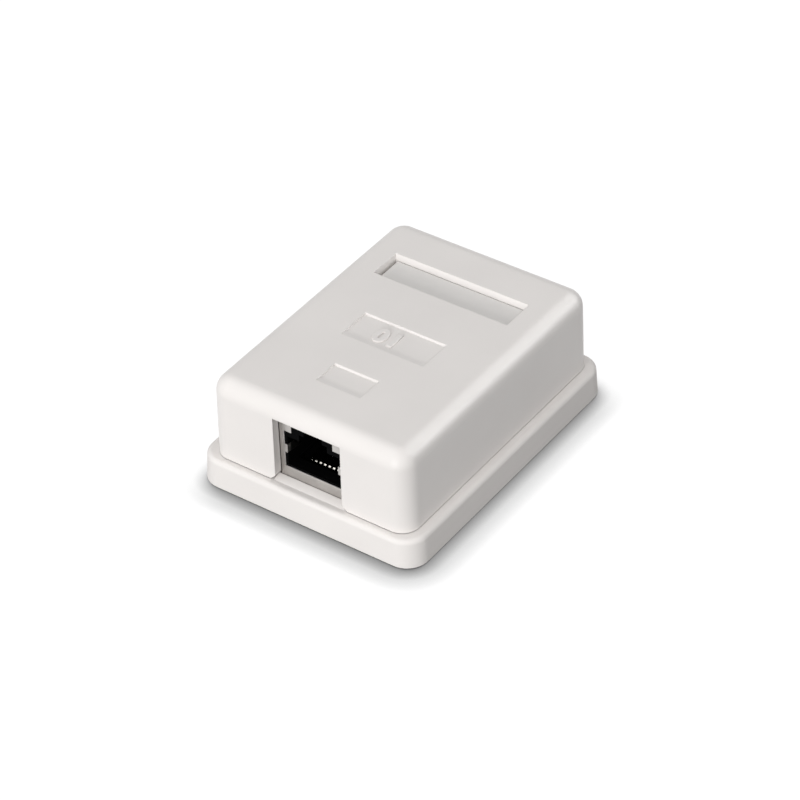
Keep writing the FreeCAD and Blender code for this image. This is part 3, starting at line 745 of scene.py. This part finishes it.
@dataclass(frozen=True)
class ScrewThread:
    """Helical thread on the core of one screw, from just over its point to just under its head."""

    node: str
    body: str
    core: float
    crest: float
    pitch: float
    head: float
    steps: int = 24
    overlap: float = 0.04 * MM
    root_share: float = 0.34
    crest_share: float = 0.06

    def profile(self) -> list[Pair]:
        """Draw the tooth.

        Returns:
            Its corners as reach and rise.
        """
        inner = self.core - self.overlap
        half, flat = self.pitch * self.root_share, self.pitch * self.crest_share
        return [(inner, -half), (self.crest, -flat), (self.crest, flat), (inner, half)]

    def build(self, paint: Paintbox) -> bpy.types.Object:
        """Spin a small tooth up the screw.

        Args:
            paint: Source of finishes.

        Returns:
            The thread.
        """
        low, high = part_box(self.node)
        centre = middle(self.node)
        start = low.z + self.core + self.pitch / 2
        stop = high.z - self.head - self.pitch / 2
        turns = int((stop - start) / self.pitch)
        mesh = bmesh.new()
        points = [mesh.verts.new((centre.x + reach, centre.y, start + rise))
                  for reach, rise in self.profile()]
        face = mesh.faces.new(points)
        bmesh.ops.spin(mesh, geom=[face, *face.edges, *points], cent=(centre.x, centre.y, 0),
                       axis=(0, 0, 1), dvec=(0, 0, self.pitch / self.steps),
                       angle=math.tau * turns, steps=self.steps * turns, use_duplicate=False)
        ends = [edge for edge in mesh.edges if edge.is_boundary]
        bmesh.ops.holes_fill(mesh, edges=ends)
        piece = new_piece(self.node + "_thread", mesh, self.body)
        paint.coat(piece, Finish.ZINC)
        return piece


@dataclass
class Casing:
    """Tray, cover, label insert and card, with the raised port number."""

    paint: Paintbox
    number: str = "01"
    number_height: float = 3.7 * MM
    number_stroke: float = 0.2 * MM
    number_relief: float = 0.36 * MM
    number_edge: float = 0.13 * MM
    number_centre: Pair = (-1.3 * MM, -2.9 * MM)
    number_spacing: float = 1.15
    digit_share: float = 0.7
    edge_steps: int = 3
    curve_steps: int = 8
    weld: float = 0.001 * MM
    above: float = 10 * MM

    def dress(self, nodes: dict[str, bpy.types.Object]) -> None:
        """Coat the solids of the casing.

        Args:
            nodes: Solids by node name.
        """
        self.paint.coat(nodes["base"], Finish.TRAY)
        self.paint.coat(nodes["cover"], Finish.CASE)
        self.paint.coat(nodes["label_window"], Finish.CLEAR)
        self.paint.coat(nodes["label_card"], Finish.CARD)
        self.paint.coat(nodes["mounting_pad"], Finish.FOAM)

    def floor_height(self, cover: bpy.types.Object) -> float:
        """Return the height of the cover's surface under the port number."""
        start = Vector((*self.number_centre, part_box("cover")[1].z + self.above))
        return cover.ray_cast(start, Vector((0, 0, -1)))[1].z

    def raised_number(self, cover: bpy.types.Object) -> bpy.types.Object:
        """Mould the port number on the floor of the middle recess.

        Args:
            cover: The cover's solid.

        Returns:
            The number as one piece.
        """
        curve = bpy.data.curves.new("port_number", "FONT")
        curve.body = self.number
        curve.size = self.number_height / self.digit_share
        curve.align_x, curve.align_y = "CENTER", "CENTER"
        curve.offset = self.number_stroke
        curve.space_character = self.number_spacing
        curve.extrude = self.number_relief - self.number_edge
        curve.bevel_depth = self.number_edge
        curve.bevel_resolution = self.edge_steps
        curve.resolution_u = self.curve_steps
        draft = bpy.data.objects.new("port_number_curve", curve)
        bpy.context.scene.collection.objects.link(draft)
        bpy.context.view_layer.update()
        final = draft.evaluated_get(bpy.context.evaluated_depsgraph_get())
        data = bpy.data.meshes.new_from_object(final)
        bpy.data.objects.remove(draft)
        mesh = bmesh.new()
        mesh.from_mesh(data)
        bmesh.ops.remove_doubles(mesh, verts=mesh.verts, dist=self.weld)
        place = (*self.number_centre, self.floor_height(cover))
        bmesh.ops.translate(mesh, verts=mesh.verts, vec=place)
        piece = new_piece("port_number", mesh, "cover")
        self.paint.coat(piece, Finish.CASE)
        return piece


@dataclass
class ModularSocket:
    """Shield, housing, carrier and the eight contacts."""

    paint: Paintbox
    contacts: int = 8

    def dress(self, nodes: dict[str, bpy.types.Object]) -> None:
        """Coat the solids of the socket.

        Args:
            nodes: Solids by node name.
        """
        low, high = (tuple(corner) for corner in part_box("jack_shield"))
        # The shield's sheet carries painted shade on its inside, in the dark cavity.
        shield = SocketSheet("socket_sheet", Finish.SHEET.value.colour, low=low, high=high)
        self.paint.coat(nodes["jack_shield"], shield)
        self.paint.coat(nodes["jack_housing"], Finish.HOUSING)
        self.paint.coat(nodes["contact_carrier"], Finish.HOUSING)
        for name in self.contact_names():
            self.paint.coat(nodes[name], Finish.GOLD)

    def contact_names(self) -> list[str]:
        """Return the names of the contact solids."""
        return [f"contact_{i + 1}" for i in range(self.contacts)]


class Conductor(Enum):
    """Conductor colours, front to rear on each connecting block, with their striping."""

    BLUE = (tone(28, 78, 160), False)
    WHITE_BLUE = (tone(28, 78, 160), True)
    BROWN = (tone(112, 66, 36), False)
    WHITE_BROWN = (tone(112, 66, 36), True)
    GREEN = (tone(30, 128, 62), False)
    WHITE_GREEN = (tone(30, 128, 62), True)
    ORANGE = (tone(226, 112, 26), False)
    WHITE_ORANGE = (tone(226, 112, 26), True)

    def ink(self) -> StripedInk:
        """Return the finish of this conductor's field."""
        colour, striped = self.value
        return StripedInk("ink_" + self.name.lower(), colour, striped)


@dataclass
class WiringBoard:
    """Circuit board, connecting blocks, forks and clip, with solder joints and colour fields."""

    paint: Paintbox
    ways: int = 8
    cone_tip: float = 0.3 * MM
    cone_foot: float = 0.77 * MM
    cone_share: float = 0.85
    cone_sides: int = 16
    field_size: Pair = (2.4 * MM, 3.0 * MM)
    field_thick: float = 0.08 * MM
    field_drop: float = 8.6 * MM
    field_edge: float = 0.024 * MM

    def dress(self, nodes: dict[str, bpy.types.Object]) -> None:
        """Coat the solids of the board.

        Args:
            nodes: Solids by node name.
        """
        self.paint.coat(nodes["circuit_board"], Finish.BOARD)
        self.paint.coat(nodes["cable_clip"], Finish.SHEET)
        for side in ("left", "right"):
            self.paint.coat(nodes[f"idc_block_{side}"], Finish.BLOCK)
            self.paint.coat(nodes[f"board_screw_{side}"], Finish.ZINC)
        for i in range(self.ways):
            self.paint.coat(nodes[f"idc_contact_{i + 1}"], Finish.TIN)

    def solder_joints(self) -> bpy.types.Object:
        """Make the solder cones where the forks come through the board.

        Returns:
            All cones as one piece.
        """
        mesh = bmesh.new()
        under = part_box("circuit_board")[0].z
        for i in range(self.ways):
            centre = middle(f"idc_contact_{i + 1}")
            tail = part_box(f"idc_contact_{i + 1}")[0].z
            height = (under - tail) * self.cone_share
            place = Matrix.Translation((centre.x, centre.y, under - height / 2))
            bmesh.ops.create_cone(mesh, cap_ends=True, segments=self.cone_sides, radius1=self.cone_tip,
                                  radius2=self.cone_foot, depth=height, matrix=place)
        piece = new_piece("solder_joints", mesh, "base")
        self.paint.coat(piece, Finish.SOLDER)
        return piece

    def colour_field(self, index: int, conductor: Conductor) -> bpy.types.Object:
        """Make one colour field on the outer side of a connecting block.

        Args:
            index: Number of the fork beside it, from 1.
            conductor: Colour of the field.

        Returns:
            The field.
        """
        fork = middle(f"idc_contact_{index}")
        side = 1 if fork.x > 0 else -1
        low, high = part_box("idc_block_right" if side > 0 else "idc_block_left")
        face = high.x if side > 0 else low.x
        width, height = self.field_size
        mesh = bmesh.new()
        centre = (face + side * self.field_thick / 2, fork.y, high.z - self.field_drop)
        place = Matrix.Translation(centre) @ Matrix.Diagonal((self.field_thick, width, height, 1))
        bmesh.ops.create_cube(mesh, size=1, matrix=place)
        bmesh.ops.bevel(mesh, geom=mesh.edges[:], offset=self.field_edge, affect="EDGES",
                        segments=2, profile=0.5, material=-1)
        piece = new_piece(f"colour_field_{index}", mesh, "base")
        self.paint.coat(piece, conductor.ink())
        return piece


# ------------------------------------------------------------------ studio

@dataclass(frozen=True)
class Lamp:
    """Square softbox aimed at the box."""

    name: str
    azimuth: float
    elevation: float
    size: float
    power: float
    distance: float = 0.9
    diffuse: bool = True
    glossy: bool = True

    def light(self, target: Vector) -> None:
        """Hang the lamp so that it faces a target.

        Args:
            target: Point that it faces.
        """
        data = bpy.data.lights.new(self.name, "AREA")
        data.shape = "SQUARE"
        data.size = self.size
        data.energy = self.power
        lamp = bpy.data.objects.new(self.name, data)
        bpy.context.scene.collection.objects.link(lamp)
        lamp.visible_diffuse = self.diffuse
        lamp.visible_glossy = self.glossy
        back = direction(self.azimuth, self.elevation)
        lamp.location = target + back * self.distance
        lamp.rotation_euler = back.to_track_quat("Z", "Y").to_euler()


def direction(azimuth: float, elevation: float) -> Vector:
    """Return the unit vector towards a place round the box; azimuth 0 is the socket's side.

    Args:
        azimuth: Angle towards +X, in degrees.
        elevation: Angle above the floor, in degrees.

    Returns:
        The vector.
    """
    turn, lift = math.radians(azimuth), math.radians(elevation)
    return Vector((math.sin(turn) * math.cos(lift), -math.cos(turn) * math.cos(lift), math.sin(lift)))


@dataclass
class Studio:
    """White floor, even sky, softboxes and the camera."""

    sky: float = 0.56
    floor_size: float = 3.0
    floor_colour: Colour = (0.15, 0.15, 0.15)
    floor_cloud: float = 0.4
    floor_tones: Pair = (0.99, 1.0)
    floor_glow: float = 0.95
    # Painted shadow on the floor's glow: a shade leaning from one side over a long reach, and a contact
    # shadow close under the rim.
    shade_from: Pair = (220.0, 12.0)
    shade_reach: float = 6.9 * MM
    shade_power: float = 1.2
    contact_shade_from: Pair = (216.0, 45.0)
    contact_shade_reach: float = 3.0 * MM
    contact_shade_power: float = 1.0
    azimuth: float = 36.13
    elevation: float = 38.67
    roll: float = -1.945
    distance: float = 0.5938
    aim: Triple = (1.24 * MM, -0.43 * MM, 10.66 * MM)
    lens: float = 140.59
    sensor: float = 36.0
    shift: Pair = (-0.0098, -0.0094)
    clip: Pair = (0.01, 10.0)
    lamps: tuple[Lamp, ...] = (
        Lamp("front_softbox", 6.0, 13.0, size=0.4, power=5.3, glossy=False),
        Lamp("front_glint", 6.0, 13.0, size=0.4, power=1.8, diffuse=False),
        Lamp("side_softbox", 100.0, 40.0, size=0.5, power=0.5),
        Lamp("top_softbox", 300.0, 60.0, size=0.5, power=0.8),
        Lamp("edge_softbox", 149.0, 42.0, size=0.8, power=6.4, diffuse=False),
        Lamp("rim_softbox", 134.0, 20.0, size=0.45, power=1.9, diffuse=False),
    )

    def seen(self, tree: bpy.types.NodeTree) -> Socket:
        """Find what the camera sees directly, in a reflection or through glass.

        Args:
            tree: Nodes to add to.

        Returns:
            The value socket, 1 where it is seen.
        """
        path = tree.nodes.new("ShaderNodeLightPath")
        total = path.outputs["Is Camera Ray"]
        for ray in ("Is Glossy Ray", "Is Transmission Ray"):
            either = tree.nodes.new("ShaderNodeMath")
            either.operation = "MAXIMUM"
            tree.links.new(total, either.inputs[0])
            tree.links.new(path.outputs[ray], either.inputs[1])
            total = either.outputs["Value"]
        return total

    def floor_material(self) -> bpy.types.Material:
        """Mix the floor's white, with a painted shadow that dims its glow where the box stands close over
        it.

        Returns:
            The material.
        """
        graph = Graph("studio_floor")
        over = graph.vector(direction(*self.shade_from))
        beside = graph.vector(direction(*self.contact_shade_from))
        # Both openness terms multiply the floor's glow into a painted shadow.
        shade = graph.openness(self.shade_reach, self.shade_power, over)
        contact_shade = graph.openness(self.contact_shade_reach, self.contact_shade_power, beside)
        values = {"Value": self.seen(graph.tree), "To Max": self.floor_glow}
        glow = graph.add("MapRange", values).outputs["Result"]
        cloud = graph.noise(self.floor_cloud, 1.0)
        graph.dress(
            Base_Color=graph.shades(cloud, self.floor_colour, self.floor_tones),
            Roughness=1.0,
            Specular_IOR_Level=0.0,
            Emission_Color=(*WHITE, 1),
            Emission_Strength=graph.product(glow, shade, contact_shade))
        return graph.material

    def floor(self) -> None:
        """Lay the floor, which shows white, keeps the box's real shadow in its faint diffuse colour and
        has a painted shadow in its glow.
        """
        mesh = bmesh.new()
        bmesh.ops.create_grid(mesh, x_segments=2, y_segments=2, size=self.floor_size / 2)
        data = bpy.data.meshes.new("studio_floor")
        mesh.to_mesh(data)
        mesh.free()
        data.materials.append(self.floor_material())
        floor = bpy.data.objects.new("studio_floor", data)
        bpy.context.scene.collection.objects.link(floor)

    def world(self) -> None:
        """Light the scene evenly from a sky that shows white."""
        world = bpy.data.worlds.new("studio_sky")
        bpy.context.scene.world = world
        world.use_nodes = True
        tree = world.node_tree
        backdrop = next(n for n in tree.nodes if n.type == "BACKGROUND")
        backdrop.inputs["Color"].default_value = (*WHITE, 1)
        strength = tree.nodes.new("ShaderNodeMapRange")
        strength.inputs["To Min"].default_value = self.sky
        strength.inputs["To Max"].default_value = 1.0
        tree.links.new(self.seen(tree), strength.inputs["Value"])
        tree.links.new(strength.outputs["Result"], backdrop.inputs["Strength"])

    def camera(self) -> None:
        """Set up the camera at the box's portrait angle."""
        data = bpy.data.cameras.new("portrait_camera")
        data.lens = self.lens
        data.sensor_width = self.sensor
        data.shift_x, data.shift_y = self.shift
        data.clip_start, data.clip_end = self.clip
        camera = bpy.data.objects.new("portrait_camera", data)
        bpy.context.scene.collection.objects.link(camera)
        back = direction(self.azimuth, self.elevation)
        right = Vector((0, 0, 1)).cross(back).normalized()
        level = Matrix((right, back.cross(right), back)).transposed()
        turned = level @ Matrix.Rotation(math.radians(self.roll), 3, "Z")
        place = Matrix.Translation(Vector(self.aim) + back * self.distance)
        camera.matrix_world = place @ turned.to_4x4()
        bpy.context.scene.camera = camera

    def build(self) -> None:
        """Set up floor, sky, lamps and camera."""
        self.floor()
        self.world()
        for lamp in self.lamps:
            lamp.light(Vector(self.aim))
        self.camera()
        bpy.context.scene.view_settings.view_transform = "Standard"


THREADS = (
    ScrewThread("cover_screw", "cover", 1.0 * MM, 1.28 * MM, 0.9 * MM, 1.5 * MM),
    *(ScrewThread(f"board_screw_{side}", "base", 0.68 * MM, 0.88 * MM, 0.7 * MM, 1.2 * MM)
      for side in ("left", "right")),
)


def main() -> None:
    """Load the solids, dress them, add the small pieces and set up the studio."""
    logging.basicConfig(level=logging.INFO)
    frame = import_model()
    nodes = frame["nodes"]
    paint = Paintbox()

    casing = Casing(paint)
    casing.dress(nodes)
    LOG.info("casing: %s", casing.raised_number(nodes["cover"]).name)

    socket = ModularSocket(paint)
    socket.dress(nodes)
    LOG.info("socket: %d contacts", len(socket.contact_names()))

    board = WiringBoard(paint)
    board.dress(nodes)
    LOG.info("board: %s", board.solder_joints().name)
    for index, conductor in enumerate(Conductor, start=1):
        LOG.info("board: %s", board.colour_field(index, conductor).name)

    paint.coat(nodes["cover_screw"], Finish.ZINC)
    for thread in THREADS:
        LOG.info("screws: %s", thread.build(paint).name)
    Studio().build()


if __name__ == "__main__":
    main()
